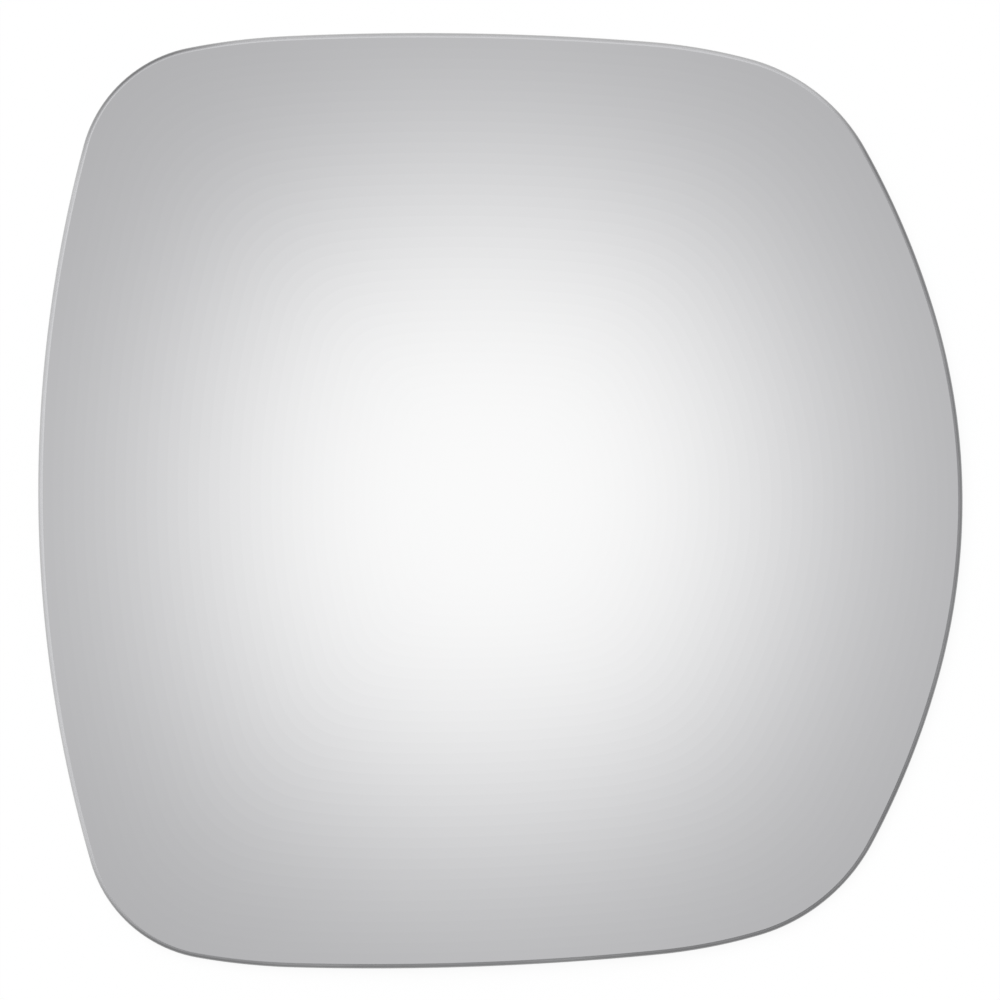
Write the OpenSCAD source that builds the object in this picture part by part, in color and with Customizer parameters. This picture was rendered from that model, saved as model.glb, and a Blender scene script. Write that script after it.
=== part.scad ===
// Car door mirror glass: a domed sheet with a ground edge, lying on its back rim with the mirror face up.
// Millimetres. The outboard nose points to +X, the upper edge to +Y, and the mirror face looks to +Z.
// The origin is on the table under the middle of the outline.

/* [Sheet] */
// Width of the glass, from the inboard edge to the outboard nose
glass_w = 168; // [160:1:176]
// Height of the glass, from the lower edge to the upper edge
glass_h = 170; // [162:1:178]
// Thickness of the sheet
glass_t = 2.2; // [2:0.1:3]
// Radius of the domed mirror face
dome_r = 1200; // [1000:50:2000]
// Where the top of the dome sits along the width; at this value all four corners touch the table
dome_x = -6.8; // [-12:0.1:4]

/* [Ground edge] */
// Width of the ground edge, from the mirror face out to the rim
edge_land = 0.95; // [0.4:0.05:0.95]

/* [Outboard side] */
// Radius of the nose, the outermost stretch
nose_r = 120; // [100:1:140]
// Degrees that the nose turns through on either side of its middle
nose_half = 16; // [8:1:22]
// Radius of the flank between the nose and a corner
flank_r = 150; // [135:1:190]
// Radius of the outboard corners
outboard_corner_r = 34; // [26:1:42]

/* [Upper and lower edges] */
// Radius of the sloping stretch beside an outboard corner
slope_r = 102; // [80:1:140]
// Where the slope begins along the width
slope_x = 28; // [20:1:34]
// Radius of the long bow
bow_r = 560; // [400:10:900]
// Where the bow is furthest out along the width
bow_x = -19; // [-26:1:-12]
// Where the shoulder begins along the width
shoulder_x = -38.5; // [-44:0.5:-32]
// Radius of the shoulder beside an inboard corner
shoulder_r = 120; // [90:1:170]

/* [Inboard side] */
// Radius of the inboard corners
inboard_corner_r = 24.5; // [18:0.5:32]
// Radius of the inboard side
inboard_r = 248; // [200:1:400]

/* [Hidden] */
// Sphere through the middle of the sheet; the outline is laid out on it
mid_r = dome_r - glass_t / 2;
// Width of the edge as ground, kept short of half a sheet, where the rounding would run into the face
ground_w = min(edge_land, 0.45 * glass_t);
// Radius of the rounding that leaves a ring of that width
edge_r = (pow(ground_w, 2) + pow(glass_t / 2, 2)) / (2 * ground_w);
// A sharper stretch is let out by this much, so that it crosses the flatter one beside it
let_out = 0.005;
// How far a flatter stretch is ground on past its end, beyond the sharper one
run_on = 25;
// How much wider the blank is than the furthest corner
spare = 3;
// Width and height of the grinding wheel's section
wheel_w = glass_w / 4;
wheel_h = 4 * glass_t;
X = [1, 0, 0];
Y = [0, 1, 0];

// Directions from the middle of the sphere
// Each stretch of the outline is a circle on the sphere: a direction for its axis and an angle from it
function unit(v) = v / norm(v);
function across(v, u) = unit(v - (v * u) * u);
function flip(v) = [v[0], -v[1], v[2]];
function spread(r) = atan(r / mid_r);
// Point of a circle at an angle round its axis, and the one over a place along the width
function point_at(u, a, t) =
    let (side = across(X, u))
    cos(a) * u + sin(a) * (cos(t) * side + sin(t) * cross(u, side));
function point_over(u, a, x) =
    let (side = across(X, u))
    point_at(u, a, acos(((x - dome_x) / mid_r - cos(a) * u[0]) / (sin(a) * side[0])));
// Axis of a circle that passes through p, with n pointing outward there
function axis_from(p, n, a) = cos(a) * p - sin(a) * n;
// Axis of a circle of angle b that runs on smoothly from circle (u, a) at p
function axis_on(p, u, a, b) = axis_from(p, (cos(a) * p - u) / sin(a), b);
// Axis of a corner circle of angle c that touches circles (u, a) and (v, b) from inside
function axis_corner(u, a, v, b, c) =
    let (
        k = u * v,
        f = (cos(a - c) - k * cos(b - c)) / (1 - k * k),
        g = (cos(b - c) - k * cos(a - c)) / (1 - k * k),
        n = cross(u, v),
        h = (1 - f * f - g * g - 2 * f * g * k) / (1 - k * k)
    )
    f * u + g * v + sign(n[2]) * sqrt(h) * n;
// Point where a circle about v touches circle (u, a) from inside
function touch(u, a, v) = cos(a) * u + sin(a) * across(v, u);

// Angles of the circles
nose_a = spread(nose_r);
flank_a = spread(flank_r);
outboard_corner_a = spread(outboard_corner_r);
slope_a = spread(slope_r);
bow_a = spread(bow_r);
shoulder_a = spread(shoulder_r);
inboard_corner_a = spread(inboard_corner_r);
inboard_a = spread(inboard_r);

// Axes of the circles above the middle line, and the points where they meet
nose_lean = asin((glass_w / 2 - dome_x) / mid_r) - nose_a;
nose_u = [sin(nose_lean), 0, cos(nose_lean)];
nose_end = point_at(nose_u, nose_a, nose_half);
flank_u = axis_on(nose_end, nose_u, nose_a, flank_a);
bow_px = (bow_x - dome_x) / mid_r;
bow_py = glass_h / 2 / mid_r;
bow_p = [bow_px, bow_py, sqrt(1 - bow_px * bow_px - bow_py * bow_py)];
bow_u = axis_from(bow_p, across(Y, bow_p), bow_a);
slope_end = point_over(bow_u, bow_a, slope_x);
slope_u = axis_on(slope_end, bow_u, bow_a, slope_a);
bow_end = point_over(bow_u, bow_a, shoulder_x);
shoulder_u = axis_on(bow_end, bow_u, bow_a, shoulder_a);
inboard_lean = asin((glass_w / 2 + dome_x) / mid_r) - inboard_a;
inboard_u = [-sin(inboard_lean), 0, cos(inboard_lean)];
outboard_corner_u = axis_corner(flank_u, flank_a, slope_u, slope_a, outboard_corner_a);
flank_end = touch(flank_u, flank_a, outboard_corner_u);
outboard_corner_end = touch(slope_u, slope_a, outboard_corner_u);
inboard_corner_u = axis_corner(shoulder_u, shoulder_a, inboard_u, inboard_a, inboard_corner_a);
shoulder_end = touch(shoulder_u, shoulder_a, inboard_corner_u);
inboard_corner_end = touch(inboard_u, inboard_a, inboard_corner_u);

// Furthest reach of a corner from the top of the dome, the blank's radius, and how high the top stands
reach_a = max(acos(outboard_corner_u[2]) + outboard_corner_a, acos(inboard_corner_u[2]) + inboard_corner_a);
blank_r = mid_r * sin(reach_a) + spare;
top_z = dome_r - (mid_r - glass_t / 2) * cos(reach_a) - ground_w * sin(reach_a);

// Stretches, anticlockwise: axis, angle, first end, last end, run on before, run on after, times let out
inboard_side = [inboard_u, inboard_a, inboard_corner_end, flip(inboard_corner_end), run_on, run_on, 0];
nose = [nose_u, nose_a, flip(nose_end), nose_end, 0, 0, 1];
bow = [bow_u, bow_a, slope_end, bow_end, run_on, run_on, 0];
flank = [flank_u, flank_a, nose_end, flank_end, run_on, run_on, 0];
slope = [slope_u, slope_a, outboard_corner_end, slope_end, run_on, 0, 1];
shoulder = [shoulder_u, shoulder_a, bow_end, shoulder_end, 0, run_on, 1];
outboard_corner = [outboard_corner_u, outboard_corner_a, flank_end, outboard_corner_end, 0, 0, 2];
inboard_corner = [inboard_corner_u, inboard_corner_a, shoulder_end, inboard_corner_end, 0, 0, 2];
function below(s) = [flip(s[0]), s[1], flip(s[3]), flip(s[2]), s[5], s[4], s[6]];
above = [bow, flank, slope, shoulder, outboard_corner, inboard_corner];
stretches = concat([inboard_side, nose], [for (s = above) each [s, below(s)]]);

// Round domed blank, a little wider than the finished glass
module blank() {
    translate([dome_x, 0, top_z - dome_r])
        rotate_extrude($fn = 180)
            intersection() {
                difference() {
                    circle(r = dome_r, $fn = 1800);
                    circle(r = dome_r - glass_t, $fn = 1800);
                }
                translate([0, dome_r / 2])
                    square([blank_r, dome_r]);
            }
}

// What the wheel takes off along one stretch: all that lies outside the rounded edge
module ground_off(s) {
    u = s[0];
    a = s[1];
    rim = mid_r * sin(a);
    e = across(s[2], u);
    f = cross(u, e);
    before = s[4] / rim * 180 / PI;
    after = s[5] / rim * 180 / PI;
    span = acos(e * across(s[3], u));
    multmatrix([
        [e[0], f[0], u[0], u[0] * mid_r + dome_x],
        [e[1], f[1], u[1], u[1] * mid_r],
        [e[2], f[2], u[2], u[2] * mid_r + top_z - dome_r]
    ])
        rotate([0, 0, -before])
            rotate_extrude(angle = before + span + after, $fn = 180)
                translate([rim, mid_r * (cos(a) - 1)])
                    rotate(-a)
                        translate([s[6] * let_out, 0])
                            wheel_section();
}

// Section of the wheel, hollowed to the rounding of the edge
module wheel_section() {
    translate([-edge_r, 0])
        difference() {
            translate([0, -wheel_h / 2])
                square([wheel_w, wheel_h]);
            circle(r = edge_r, $fn = 60);
        }
}

// The blank after the first n + 1 stretches have been ground, one after another
module ground(n) {
    difference() {
        if (n > 0) ground(n - 1);
        else blank();
        ground_off(stretches[n]);
    }
}

module mirror_glass() {
    color("Silver")
        ground(len(stretches) - 1);
}

mirror_glass();
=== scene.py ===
import math

import bmesh
import bpy
from mathutils import Matrix, Vector


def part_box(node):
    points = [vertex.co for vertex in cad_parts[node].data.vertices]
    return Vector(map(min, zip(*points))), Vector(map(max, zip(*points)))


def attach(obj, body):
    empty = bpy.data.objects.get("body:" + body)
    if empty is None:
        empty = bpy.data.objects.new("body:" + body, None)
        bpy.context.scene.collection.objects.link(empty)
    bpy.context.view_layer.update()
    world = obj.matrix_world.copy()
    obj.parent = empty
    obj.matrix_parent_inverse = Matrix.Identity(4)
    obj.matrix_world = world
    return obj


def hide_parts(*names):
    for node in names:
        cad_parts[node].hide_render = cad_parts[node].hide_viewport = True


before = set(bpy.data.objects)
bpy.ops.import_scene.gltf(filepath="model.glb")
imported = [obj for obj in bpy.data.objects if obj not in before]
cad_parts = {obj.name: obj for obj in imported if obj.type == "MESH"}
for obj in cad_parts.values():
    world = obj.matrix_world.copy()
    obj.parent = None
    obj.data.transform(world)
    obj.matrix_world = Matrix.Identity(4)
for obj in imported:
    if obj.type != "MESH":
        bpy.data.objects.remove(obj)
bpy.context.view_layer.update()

# Car door mirror glass: a domed sheet with a ground edge, lying face up on its back corners.
# Metres. +X to the outboard nose, +Y to the upper edge, +Z out of the mirror face.

MM = 0.001
WHITE = (1, 1, 1, 1)

# Sheet and ground edge
LOW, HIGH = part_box("mirror_glass")
GLASS_W = HIGH[0] - LOW[0]
GLASS_H = HIGH[1] - LOW[1]
TOP_Z = HIGH[2]
GLASS_T = 2.2 * MM
DOME_R = 1200 * MM
DOME_X = -6.8 * MM
EDGE_LAND = 0.95 * MM
MID_R = DOME_R - GLASS_T / 2
EDGE_R = (EDGE_LAND ** 2 + (GLASS_T / 2) ** 2) / (2 * EDGE_LAND)
EDGE_HALF_TURN = math.asin(GLASS_T / 2 / EDGE_R)
DOME_CENTRE = Vector((DOME_X, 0, TOP_Z - DOME_R))

# Radii of the outline's stretches, and where they begin
NOSE_R = 120 * MM
NOSE_HALF = math.radians(16)
FLANK_R = 150 * MM
OUTBOARD_CORNER_R = 34 * MM
SLOPE_R = 102 * MM
SLOPE_X = 28 * MM
BOW_R = 560 * MM
BOW_X = -19 * MM
SHOULDER_X = -38.5 * MM
SHOULDER_R = 120 * MM
INBOARD_CORNER_R = 24.5 * MM
INBOARD_R = 248 * MM

# Fineness of the mesh
EDGE_STEPS = 16
STEP_LENGTH = 1.3 * MM
CORNER_STEP = math.radians(3)
FACE_RINGS = 44
BACK_RINGS = 16
WELD = 0.02 * MM

# Slots of the one piece
FACE, EDGE, BACK = 0, 1, 2

# Silvered face
SILVER = (0.956, 0.956, 0.956, 1)
SILVER_HAZED = (0.951, 0.951, 0.952, 1)
HAZE = {"Scale": 14.0, "Spread": 0.25}
HAZE_DULLS = 0.004
DUST = (0.8, 0.8, 0.8, 1)
DUST_SPECKS = {"Scale": 420.0, "Share": 0.035, "Size": 0.16}
DUST_SHOWS = 0.05
RIPPLE_SCALE = 24.0
RIPPLE = 0.004 * MM

# Ground edge; heights run through the sheet, from -1 at the back to 1 at the mirror face
COAT = (0.88, 0.88, 0.882, 1)
COAT_THIN = (0.225, 0.225, 0.227, 1)
FROSTED = (0.46, 0.46, 0.463, 1)
COAT_FULL = 1.0
COAT_LOW = 0.81
FROST_BEGINS = 0.78
FROST_FULL = 0.45
PAINT_BEGINS = -0.7
PAINT_FULL = -0.84
SATIN = 0.36
SATIN_DOWN_TO = 0.9
ROUGH = 0.6
ROUGH_FROM = 0.6
PATCHES = {"Scale": 90.0, "Spread": 0.2}
PATCHINESS = 0.03
SCRATCHES_ALONG = (70, 70, 70)
SCRATCHES_DOWN = 9.0
WEAR = 0.1
CHIPS = {"Scale": 1500.0, "Share": 0.05, "Size": 0.16}
CHIPPING = 0.25
GRAIN = 0.06
GRINDING_MARKS = 0.003 * MM

# Painted light: the ground edge is drawn lighter on the inboard and upper stretches, as if lit from
# those sides, with a brighter coat that reaches further over the edge there
COAT_PAINTED_LIT = (0.66, 0.66, 0.662, 1)
FROSTED_PAINTED_LIT = (0.68, 0.68, 0.682, 1)
PAINTED_LIGHT_REACH = 0.07
# Each stretch: its middle, how far from there it is full, how far from there it ends, its share
PAINTED_LIGHT_STRETCHES = (
    ((-84 * MM, -1 * MM, 0), 58 * MM, 82 * MM, 1.0),
    ((6 * MM, 85 * MM, 0), 50 * MM, 68 * MM, 0.8),
    ((84 * MM, 0, 0), 25 * MM, 60 * MM, 0.1),
    ((-10 * MM, -85 * MM, 0), 20 * MM, 45 * MM, 0.1),
)

# Paint on the back
PAINT_THIN = (0.108, 0.114, 0.121, 1)
PAINT_THICK = (0.137, 0.144, 0.152, 1)
PIN_HOLE = (0.05, 0.053, 0.057, 1)
PAINT_CLOUDS = {"Scale": 60.0, "Spread": 0.35}
PINS = {"Scale": 520.0, "Share": 0.05, "Size": 0.2}
PINS_SHOW = 0.6
FLOW_STRETCH = (9, 420, 9)
FLOW_SHARE = 0.6
PEEL_SCALE = 1100.0
SHADE_FROM = 0.2
SHADE_TO = 0.8
PAINT_DULL = 0.6
PAINT_SHEEN = 0.48
PAINT_RELIEF = 0.03 * MM

# Room: degrees from straight overhead; a pair is where a change is nil and where it is full
CEILING = 0.45
CEILING_TINT = (1, 1, 1.024, 1)
ROUND_LIGHT = 0.5526
ROUND_LIGHT_SIZE = 8.39
ROUND_LIGHT_EDGE = 2.75
ROUND_LIGHT_LEAN = math.radians(0.36)
ROUND_LIGHT_TALL = 0.971
# The ceiling is brighter towards one bearing, and as much darker away from it
UPPER_SIDE = 0.29
UPPER_BEARING = 129
UPPER_RISES = (15.0, 24.0)
UPPER_FALLS = (70.0, 40.0)
# The wall is brighter at each window: its bearing, how narrow it is, how much brighter
WALL_RISES = (16.0, 50.0)
WINDOWS = ((184.3, 14.5, 0.18), (68.8, 11.3, 0.16))
HORIZON_RISES = (72.0, 92.0)

# Lamp
LAMP_POWER = 1.5
LAMP_WIDTH = math.radians(60)
LAMP_LEAN = math.radians(30)
LAMP_TURN = math.radians(216)

# Floor
FLOOR_R = 4.0
FLOOR_SIDES = 96
FLOOR_GAP = 0.02 * MM
FLOOR_MOTTLE = 6.0
FLOOR_GLOW = 0.91
FLOOR_WHITE = (0.1, 0.1, 0.1, 1)
FLOOR_OFF_WHITE = (0.098, 0.098, 0.098, 1)

# Camera, straight above the glass
CAMERA_AWAY = 1.5
OUTLINE_Z = 1.7 * MM
VIEW_W = 181.83 * MM
CAMERA_X = -0.1 * MM
CAMERA_Y = -0.05 * MM
CAMERA_ROLL = math.radians(-0.571)
CAMERA_SEES_FROM = 0.01
CAMERA_SEES_TO = 50.0
SENSOR_W = 36.0


# Outline, laid out on the sphere through the middle of the sheet

def across(v, u):
    """Unit vector square to u on v's side."""
    return (v - v.dot(u) * u).normalized()


def flip(v):
    """The same point or direction below the middle line."""
    return Vector((v.x, -v.y, v.z))


def spread(r):
    """Angle from its axis of a circle that bends on the glass at radius r."""
    return math.atan(r / MID_R)


def point_at(u, a, t):
    """Point of circle (u, a) at an angle round its axis."""
    side = across(Vector((1, 0, 0)), u)
    return math.cos(a) * u + math.sin(a) * (math.cos(t) * side + math.sin(t) * u.cross(side))


def point_over(u, a, x):
    """Point of circle (u, a) over a place along the width."""
    side = across(Vector((1, 0, 0)), u)
    turn = math.acos(((x - DOME_X) / MID_R - math.cos(a) * u.x) / (math.sin(a) * side.x))
    return point_at(u, a, turn)


def axis_from(p, n, a):
    """Axis of a circle that passes through p, with n pointing outward there."""
    return math.cos(a) * p - math.sin(a) * n


def axis_on(p, u, a, b):
    """Axis of a circle of angle b that runs on smoothly from circle (u, a) at p."""
    return axis_from(p, (math.cos(a) * p - u) / math.sin(a), b)


def axis_corner(u, a, v, b, c):
    """Axis of a corner circle of angle c that touches circles (u, a) and (v, b) from inside."""
    k = u.dot(v)
    left = 1 - k * k
    f = (math.cos(a - c) - k * math.cos(b - c)) / left
    g = (math.cos(b - c) - k * math.cos(a - c)) / left
    n = u.cross(v)
    h = (1 - f * f - g * g - 2 * f * g * k) / left
    return f * u + g * v + math.copysign(math.sqrt(h), n.z) * n


def touch(u, a, v):
    """Point where a circle about v touches circle (u, a) from inside."""
    return math.cos(a) * u + math.sin(a) * across(v, u)


def outline():
    """The fourteen stretches, anticlockwise: axis, angle, first end and last end of each."""
    nose_a, flank_a, slope_a = spread(NOSE_R), spread(FLANK_R), spread(SLOPE_R)
    bow_a, shoulder_a, inboard_a = spread(BOW_R), spread(SHOULDER_R), spread(INBOARD_R)
    outboard_corner_a, inboard_corner_a = spread(OUTBOARD_CORNER_R), spread(INBOARD_CORNER_R)

    nose_lean = math.asin((GLASS_W / 2 - DOME_X) / MID_R) - nose_a
    nose_u = Vector((math.sin(nose_lean), 0, math.cos(nose_lean)))
    nose_end = point_at(nose_u, nose_a, NOSE_HALF)
    flank_u = axis_on(nose_end, nose_u, nose_a, flank_a)

    bow_px = (BOW_X - DOME_X) / MID_R
    bow_py = GLASS_H / 2 / MID_R
    bow_p = Vector((bow_px, bow_py, math.sqrt(1 - bow_px ** 2 - bow_py ** 2)))
    bow_u = axis_from(bow_p, across(Vector((0, 1, 0)), bow_p), bow_a)
    slope_end = point_over(bow_u, bow_a, SLOPE_X)
    slope_u = axis_on(slope_end, bow_u, bow_a, slope_a)
    bow_end = point_over(bow_u, bow_a, SHOULDER_X)
    shoulder_u = axis_on(bow_end, bow_u, bow_a, shoulder_a)

    inboard_lean = math.asin((GLASS_W / 2 + DOME_X) / MID_R) - inboard_a
    inboard_u = Vector((-math.sin(inboard_lean), 0, math.cos(inboard_lean)))

    outboard_corner_u = axis_corner(flank_u, flank_a, slope_u, slope_a, outboard_corner_a)
    flank_end = touch(flank_u, flank_a, outboard_corner_u)
    outboard_corner_end = touch(slope_u, slope_a, outboard_corner_u)
    inboard_corner_u = axis_corner(shoulder_u, shoulder_a, inboard_u, inboard_a, inboard_corner_a)
    shoulder_end = touch(shoulder_u, shoulder_a, inboard_corner_u)
    inboard_corner_end = touch(inboard_u, inboard_a, inboard_corner_u)

    above = [
        (flank_u, flank_a, nose_end, flank_end),
        (outboard_corner_u, outboard_corner_a, flank_end, outboard_corner_end),
        (slope_u, slope_a, outboard_corner_end, slope_end),
        (bow_u, bow_a, slope_end, bow_end),
        (shoulder_u, shoulder_a, bow_end, shoulder_end),
        (inboard_corner_u, inboard_corner_a, shoulder_end, inboard_corner_end),
    ]
    below = [(flip(u), a, flip(q), flip(p)) for u, a, p, q in reversed(above)]
    nose = (nose_u, nose_a, flip(nose_end), nose_end)
    inboard_side = (inboard_u, inboard_a, inboard_corner_end, flip(inboard_corner_end))
    return [nose] + above + [inboard_side] + below


# The glass

def ground_stretch(bm, u, a, p, q):
    """Rounded edge along one stretch: a point spun into the edge's section, and that spun along."""
    before = set(bm.verts)
    out = (math.cos(a) * p - u) / math.sin(a)
    middle = DOME_CENTRE + MID_R * p - EDGE_R * out
    start = math.cos(EDGE_HALF_TURN) * out + math.sin(EDGE_HALF_TURN) * p
    point = bmesh.ops.create_vert(bm, co=middle + EDGE_R * start)["vert"]
    bmesh.ops.spin(bm, geom=point, cent=middle, axis=p.cross(out),
                   angle=2 * EDGE_HALF_TURN, steps=EDGE_STEPS)
    section = [v for v in bm.verts if v not in before]
    section += {e for v in section for e in v.link_edges}
    turn = across(p, u).angle(across(q, u))
    steps = math.ceil(max(turn * MID_R * math.sin(a) / STEP_LENGTH, turn / CORNER_STEP))
    bmesh.ops.spin(bm, geom=section, cent=DOME_CENTRE + MID_R * u, axis=u, angle=turn, steps=steps)


def rim(bm, mirror_side):
    """Open edges of the ground ring, on the mirror side or on the back."""
    return [e for e in bm.edges
            if e.is_boundary and ((e.verts[0].co - DOME_CENTRE).length > MID_R) == mirror_side]


def lay_on_sphere(verts, radius):
    """Lifts or lowers the points onto a sphere about the dome's centre."""
    for v in verts:
        flat = (v.co.x - DOME_CENTRE.x) ** 2 + v.co.y ** 2
        v.co.z = DOME_CENTRE.z + math.sqrt(radius ** 2 - flat)


def domed_face(bm, loop, radius, rings, slot):
    """Rings drawn in from the rim towards the middle, laid on the sphere and closed by a fan."""
    faces = []
    for ring in range(rings, 1, -1):
        made = bmesh.ops.extrude_edge_only(bm, edges=loop)["geom"]
        verts = {g for g in made if isinstance(g, bmesh.types.BMVert)}
        faces += [g for g in made if isinstance(g, bmesh.types.BMFace)]
        loop = [g for g in made if isinstance(g, bmesh.types.BMEdge) and verts.issuperset(g.verts)]
        inward = (ring - 1) / ring
        bmesh.ops.scale(bm, vec=(inward, inward, 1), verts=list(verts))
        lay_on_sphere(verts, radius)
    middle = bmesh.ops.edgeloop_fill(bm, edges=loop)["faces"]
    fan = bmesh.ops.poke(bm, faces=middle)
    lay_on_sphere(fan["verts"], radius)
    for f in faces + fan["faces"]:
        f.material_index = slot


def make_glass(materials):
    """The whole sheet as one closed piece: ground edge, mirror face and back."""
    bm = bmesh.new()
    for u, a, p, q in outline():
        ground_stretch(bm, u, a, p, q)
    bmesh.ops.remove_doubles(bm, verts=bm.verts, dist=WELD)
    for f in bm.faces:
        f.material_index = EDGE
    for mirror_side, radius, rings, slot in ((True, DOME_R, FACE_RINGS, FACE),
                                             (False, DOME_R - GLASS_T, BACK_RINGS, BACK)):
        loop = rim(bm, mirror_side)
        for e in loop:
            e.smooth = False
        domed_face(bm, loop, radius, rings, slot)
    bmesh.ops.recalc_face_normals(bm, faces=bm.faces)
    for f in bm.faces:
        f.smooth = True
    mesh = bpy.data.meshes.new("glass")
    bm.to_mesh(mesh)
    bm.free()
    for m in materials:
        mesh.materials.append(m)
    glass = bpy.data.objects.new("glass", mesh)
    bpy.context.scene.collection.objects.link(glass)
    return glass


# Node helpers

def add(tree, kind, inputs=None, **settings):
    """A node with its settings; an input is a value, or another node's socket to link from."""
    node = tree.nodes.new(kind)
    for name, value in settings.items():
        setattr(node, name, value)
    for name, value in (inputs or {}).items():
        if isinstance(value, bpy.types.NodeSocket):
            tree.links.new(value, node.inputs[name])
        else:
            node.inputs[name].default_value = value
    return node


def math_node(tree, operation, *values):
    return add(tree, "ShaderNodeMath", dict(enumerate(values)), operation=operation).outputs[0]


def plus(tree, a, b):
    return math_node(tree, "ADD", a, b)


def minus(tree, a, b):
    return math_node(tree, "SUBTRACT", a, b)


def times(tree, a, b):
    return math_node(tree, "MULTIPLY", a, b)


def times_add(tree, a, b, c):
    return math_node(tree, "MULTIPLY_ADD", a, b, c)


def vector_node(tree, operation, *values, out="Vector"):
    node = add(tree, "ShaderNodeVectorMath", dict(enumerate(values)), operation=operation)
    return node.outputs[out]


def ramp(tree, value, low, high, start=0.0, end=1.0, shape="SMOOTHSTEP"):
    """value from low to high becomes start to end."""
    inputs = {"Value": value, "From Min": low, "From Max": high, "To Min": start, "To Max": end}
    return add(tree, "ShaderNodeMapRange", inputs, interpolation_type=shape).outputs["Result"]


def mix_colours(tree, factor, a, b):
    return add(tree, "ShaderNodeMix", {0: factor, 6: a, 7: b}, data_type="RGBA").outputs[2]


def noise(tree, vector, scale, detail=3.0, roughness=0.5):
    inputs = {"Vector": vector, "Scale": scale, "Detail": detail, "Roughness": roughness}
    return add(tree, "ShaderNodeTexNoise", inputs).outputs["Fac"]


def object_place(tree):
    return add(tree, "ShaderNodeTexCoord").outputs["Object"]


def bump(tree, height, distance):
    return add(tree, "ShaderNodeBump", {"Height": height, "Distance": distance}).outputs["Normal"]


def new_group(name, **given):
    """A group that turns the numbers given into one mask."""
    tree = bpy.data.node_groups.new(name, "ShaderNodeTree")
    for label, value in given.items():
        socket = tree.interface.new_socket(label, in_out="INPUT", socket_type="NodeSocketFloat")
        socket.default_value = value
    tree.interface.new_socket("Mask", in_out="OUTPUT", socket_type="NodeSocketFloat")
    mask = tree.nodes.new("NodeGroupOutput").inputs["Mask"]
    return tree, tree.nodes.new("NodeGroupInput").outputs, mask


def place_group(tree, group, values):
    """The mask of a group placed with its own values."""
    return add(tree, "ShaderNodeGroup", values, node_tree=group).outputs["Mask"]


def new_finish(name):
    """A material, its nodes and the inputs of its shader."""
    material = bpy.data.materials.new(name)
    material.use_nodes = True
    return material, material.node_tree, material.node_tree.nodes["Principled BSDF"].inputs


# Effects that the finishes share

def build_cloudiness():
    """Soft unevenness of a coat, over centimetres."""
    tree, given, mask = new_group("cloudiness", Scale=20.0, Spread=0.2)
    cloud = noise(tree, object_place(tree), given["Scale"], detail=4.0)
    low = minus(tree, 0.5, given["Spread"])
    high = plus(tree, 0.5, given["Spread"])
    tree.links.new(ramp(tree, cloud, low, high), mask)
    return tree


def build_specks():
    """Scattered specks, each a soft dot, with the share of cells that hold one."""
    tree, given, mask = new_group("specks", Scale=900.0, Share=0.1, Size=0.2)
    inputs = {"Vector": object_place(tree), "Scale": given["Scale"]}
    cells = add(tree, "ShaderNodeTexVoronoi", inputs)
    dot = ramp(tree, cells.outputs["Distance"], given["Size"], 0.0)
    pick = add(tree, "ShaderNodeSeparateColor", {"Color": cells.outputs["Color"]}).outputs["Red"]
    held = math_node(tree, "LESS_THAN", pick, given["Share"])
    tree.links.new(times(tree, dot, held), mask)
    return tree


def height_in_sheet(tree):
    """Height through the sheet, whatever the dome does: -1 at the back, 1 at the mirror face."""
    from_centre = vector_node(tree, "SUBTRACT", object_place(tree), DOME_CENTRE)
    length = vector_node(tree, "LENGTH", from_centre, out="Value")
    return math_node(tree, "DIVIDE", minus(tree, length, MID_R), GLASS_T / 2)


def painted_light_along_edge(tree):
    """Painted light along the outline, from 0 to 1: where the ground edge is drawn lighter, as if
    lit.
    """
    painted_light = 0.0
    for middle, full_to, ends, share in PAINTED_LIGHT_STRETCHES:
        distance = vector_node(tree, "DISTANCE", object_place(tree), middle, out="Value")
        painted_light = plus(tree, ramp(tree, distance, ends, full_to, 0.0, share), painted_light)
    return painted_light


# Finishes

def silvered_face(cloudiness, specks):
    """Polished glass over silver, with faint haze, fine dust and the ripple of bent sheet."""
    material, tree, shader = new_finish("silvered_face")
    shader["Metallic"].default_value = 1.0
    haze = place_group(tree, cloudiness, HAZE)
    dust = times(tree, place_group(tree, specks, DUST_SPECKS), DUST_SHOWS)
    silver = mix_colours(tree, haze, SILVER, SILVER_HAZED)
    tree.links.new(mix_colours(tree, dust, silver, DUST), shader["Base Color"])
    tree.links.new(times_add(tree, haze, HAZE_DULLS, dust), shader["Roughness"])
    ripple = noise(tree, object_place(tree), RIPPLE_SCALE, detail=1.0)
    tree.links.new(bump(tree, ripple, RIPPLE), shader["Normal"])
    return material


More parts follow.
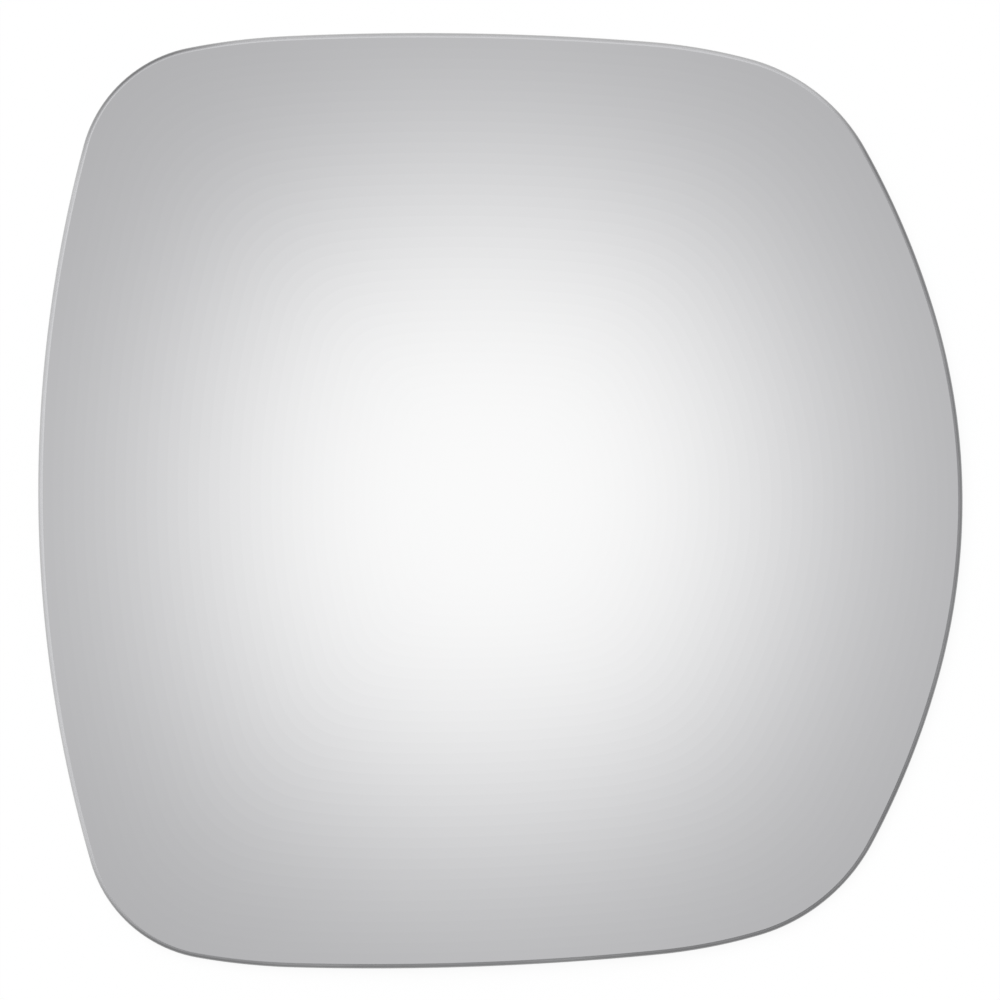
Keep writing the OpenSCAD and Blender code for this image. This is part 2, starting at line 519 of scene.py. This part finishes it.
def ground_edge(cloudiness, specks):
    """From the face down: the coat runs over and thins, then frosted glass, then paint."""
    material, tree, shader = new_finish("ground_edge")
    height = height_in_sheet(tree)
    patchy = place_group(tree, cloudiness, PATCHES)
    chips = place_group(tree, specks, CHIPS)
    along = vector_node(tree, "MULTIPLY", object_place(tree), SCRATCHES_ALONG)
    down = add(tree, "ShaderNodeCombineXYZ", {"Z": times(tree, height, SCRATCHES_DOWN)}).outputs[0]
    scratches = noise(tree, vector_node(tree, "ADD", along, down), 1.0, detail=5.0, roughness=0.65)

    wavy = times_add(tree, minus(tree, patchy, 0.5), PATCHINESS, height)
    # Painted light: on the inboard and upper stretches the thin coat, full coat and frosting are
    # drawn lighter and the coat reaches further over the edge
    painted_light = painted_light_along_edge(tree)
    reach_with_painted_light = times_add(tree, painted_light, PAINTED_LIGHT_REACH, wavy)
    coated = ramp(tree, reach_with_painted_light, COAT_LOW, COAT_FULL, shape="LINEAR")
    bare = ramp(tree, wavy, FROST_BEGINS, FROST_FULL, shape="LINEAR")
    painted = ramp(tree, wavy, PAINT_BEGINS, PAINT_FULL)
    marked = times_add(tree, chips, CHIPPING, times(tree, minus(tree, 1.0, scratches), WEAR))
    thin = mix_colours(tree, painted_light, COAT_THIN, COAT_PAINTED_LIT)
    full = mix_colours(tree, painted_light, COAT, SILVER)
    frosted = mix_colours(tree, painted_light, FROSTED, FROSTED_PAINTED_LIT)
    ground = mix_colours(tree, bare, mix_colours(tree, coated, thin, full), frosted)
    ground = mix_colours(tree, marked, ground, COAT_THIN)
    tree.links.new(mix_colours(tree, painted, ground, PAINT_THICK), shader["Base Color"])
    tree.links.new(minus(tree, 1.0, painted), shader["Metallic"])
    rough = ramp(tree, wavy, SATIN_DOWN_TO, ROUGH_FROM, SATIN, ROUGH)
    tree.links.new(times_add(tree, minus(tree, scratches, 0.5), GRAIN, rough), shader["Roughness"])
    tree.links.new(bump(tree, scratches, GRINDING_MARKS), shader["Normal"])
    return material


def backing_paint(cloudiness, specks):
    """Grey paint flowed over the back: near even, with flow lines, orange peel and pin holes."""
    material, tree, shader = new_finish("backing_paint")
    thick = place_group(tree, cloudiness, PAINT_CLOUDS)
    pins = place_group(tree, specks, PINS)
    stretched = vector_node(tree, "MULTIPLY", object_place(tree), FLOW_STRETCH)
    flow = noise(tree, stretched, 1.0, roughness=0.6)
    peel = noise(tree, object_place(tree), PEEL_SCALE, detail=2.0)
    shade = times_add(tree, flow, FLOW_SHARE, times(tree, thick, 1 - FLOW_SHARE))
    paint = mix_colours(tree, shade, PAINT_THIN, PAINT_THICK)
    paint = mix_colours(tree, times(tree, pins, PINS_SHOW), paint, PIN_HOLE)
    tree.links.new(paint, shader["Base Color"])
    rough = ramp(tree, shade, SHADE_FROM, SHADE_TO, PAINT_DULL, PAINT_SHEEN)
    tree.links.new(rough, shader["Roughness"])
    relief = times_add(tree, flow, FLOW_SHARE, minus(tree, peel, pins))
    tree.links.new(bump(tree, relief, PAINT_RELIEF), shader["Normal"])
    return material


# Room, lamp, floor and camera

def towards(tree, heading, bearing):
    """Cosine between a level heading and a bearing in degrees."""
    side = (math.cos(math.radians(bearing)), math.sin(math.radians(bearing)), 0)
    return vector_node(tree, "DOT_PRODUCT", heading, side, out="Value")


def bell(tree, distance, size, power):
    """Falls softly from 1 as distance grows past size."""
    fall = math_node(tree, "POWER", math_node(tree, "DIVIDE", distance, size), power)
    return math_node(tree, "EXPONENT", times(tree, fall, -1.0))


def build_room():
    """A round soft light overhead in a grey ceiling, two windows, and a white horizon."""
    world = bpy.data.worlds.new("room")
    bpy.context.scene.world = world
    world.use_nodes = True
    tree = world.node_tree
    background = tree.nodes["Background"].inputs
    away = add(tree, "ShaderNodeTexCoord").outputs["Generated"]
    aim = {"Vector": away, "Rotation": (0, -ROUND_LIGHT_LEAN, 0), "Scale": (1, ROUND_LIGHT_TALL, 1)}
    aimed = add(tree, "ShaderNodeMapping", aim).outputs["Vector"]
    parts = add(tree, "ShaderNodeSeparateXYZ", {"Vector": aimed}).outputs
    level = add(tree, "ShaderNodeCombineXYZ", {"X": parts["X"], "Y": parts["Y"]}).outputs[0]
    reach = vector_node(tree, "LENGTH", level, out="Value")
    heading = vector_node(tree, "NORMALIZE", level)
    angle = math_node(tree, "DEGREES", math_node(tree, "ARCTAN2", reach, parts["Z"]))

    glow = bell(tree, angle, ROUND_LIGHT_SIZE, ROUND_LIGHT_EDGE)
    tree.links.new(mix_colours(tree, glow, CEILING_TINT, WHITE), background["Color"])
    overhead = times_add(tree, glow, ROUND_LIGHT, CEILING)
    upper = times(tree, ramp(tree, angle, *UPPER_RISES), ramp(tree, angle, *UPPER_FALLS))
    upper = times(tree, upper, times(tree, towards(tree, heading, UPPER_BEARING), UPPER_SIDE))
    wall = 0.0
    for bearing, narrowness, rise in WINDOWS:
        off = minus(tree, towards(tree, heading, bearing), 1.0)
        window = math_node(tree, "EXPONENT", times(tree, off, narrowness))
        wall = times_add(tree, window, rise, wall)
    wall = times(tree, wall, ramp(tree, angle, *WALL_RISES))
    room = plus(tree, plus(tree, overhead, upper), wall)
    horizon = ramp(tree, angle, *HORIZON_RISES)
    strength = ramp(tree, horizon, 0.0, 1.0, room, 1.0, shape="LINEAR")
    tree.links.new(strength, background["Strength"])


def hang_lamp():
    """Wide soft light from the upper left, not mirrored in the glass, for a shadow on the floor."""
    sun = bpy.data.lights.new("softbox", "SUN")
    sun.energy = LAMP_POWER
    sun.angle = LAMP_WIDTH
    lamp = bpy.data.objects.new("softbox", sun)
    lamp.visible_glossy = False
    turn = Matrix.Rotation(LAMP_TURN, 3, "Z") @ Matrix.Rotation(LAMP_LEAN, 3, "X")
    lamp.rotation_euler = turn.to_euler()
    bpy.context.scene.collection.objects.link(lamp)


def lay_floor():
    """White floor with a faint shadow, clear from below and to soft light bounced off the glass."""
    bm = bmesh.new()
    bmesh.ops.create_circle(bm, cap_ends=True, segments=FLOOR_SIDES, radius=FLOOR_R,
                            matrix=Matrix.Translation((0, 0, -FLOOR_GAP)))
    mesh = bpy.data.meshes.new("floor")
    bm.to_mesh(mesh)
    bm.free()
    floor = bpy.data.objects.new("floor", mesh)
    bpy.context.scene.collection.objects.link(floor)

    material = bpy.data.materials.new("white_floor")
    material.use_nodes = True
    tree = material.node_tree
    tree.nodes.clear()
    rays = add(tree, "ShaderNodeLightPath").outputs
    mirrored = math_node(tree, "MAXIMUM", rays["Is Glossy Ray"], rays["Is Transmission Ray"])
    seen = math_node(tree, "MAXIMUM", rays["Is Camera Ray"], mirrored)
    strength = times(tree, seen, FLOOR_GLOW)
    glow = add(tree, "ShaderNodeEmission", {"Color": WHITE, "Strength": strength})
    mottle = noise(tree, object_place(tree), FLOOR_MOTTLE)
    colour = mix_colours(tree, mottle, FLOOR_WHITE, FLOOR_OFF_WHITE)
    matt = add(tree, "ShaderNodeBsdfDiffuse", {"Color": colour})
    white = add(tree, "ShaderNodeAddShader", {0: matt.outputs[0], 1: glow.outputs[0]})
    clear = add(tree, "ShaderNodeBsdfTransparent")
    below = add(tree, "ShaderNodeNewGeometry").outputs["Backfacing"]
    let_through = math_node(tree, "MAXIMUM", below, rays["Is Diffuse Ray"])
    inputs = {0: let_through, 1: white.outputs[0], 2: clear.outputs[0]}
    surface = add(tree, "ShaderNodeMixShader", inputs)
    add(tree, "ShaderNodeOutputMaterial", {"Surface": surface.outputs[0]})
    mesh.materials.append(material)


def look_down():
    """A camera straight above, at the photograph's frame and roll."""
    data = bpy.data.cameras.new("camera")
    data.sensor_width = SENSOR_W
    data.lens = SENSOR_W * CAMERA_AWAY / VIEW_W
    data.clip_start = CAMERA_SEES_FROM
    data.clip_end = CAMERA_SEES_TO
    camera = bpy.data.objects.new("camera", data)
    camera.location = (CAMERA_X, CAMERA_Y, OUTLINE_Z + CAMERA_AWAY)
    camera.rotation_euler = (0, 0, CAMERA_ROLL)
    bpy.context.scene.collection.objects.link(camera)
    bpy.context.scene.camera = camera


cloudiness = build_cloudiness()
specks = build_specks()
finishes = [finish(cloudiness, specks) for finish in (silvered_face, ground_edge, backing_paint)]
glass = make_glass(finishes)
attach(glass, "root")
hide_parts("mirror_glass")

lay_floor()
build_room()
hang_lamp()
look_down()

bpy.context.scene.view_settings.view_transform = "Standard"
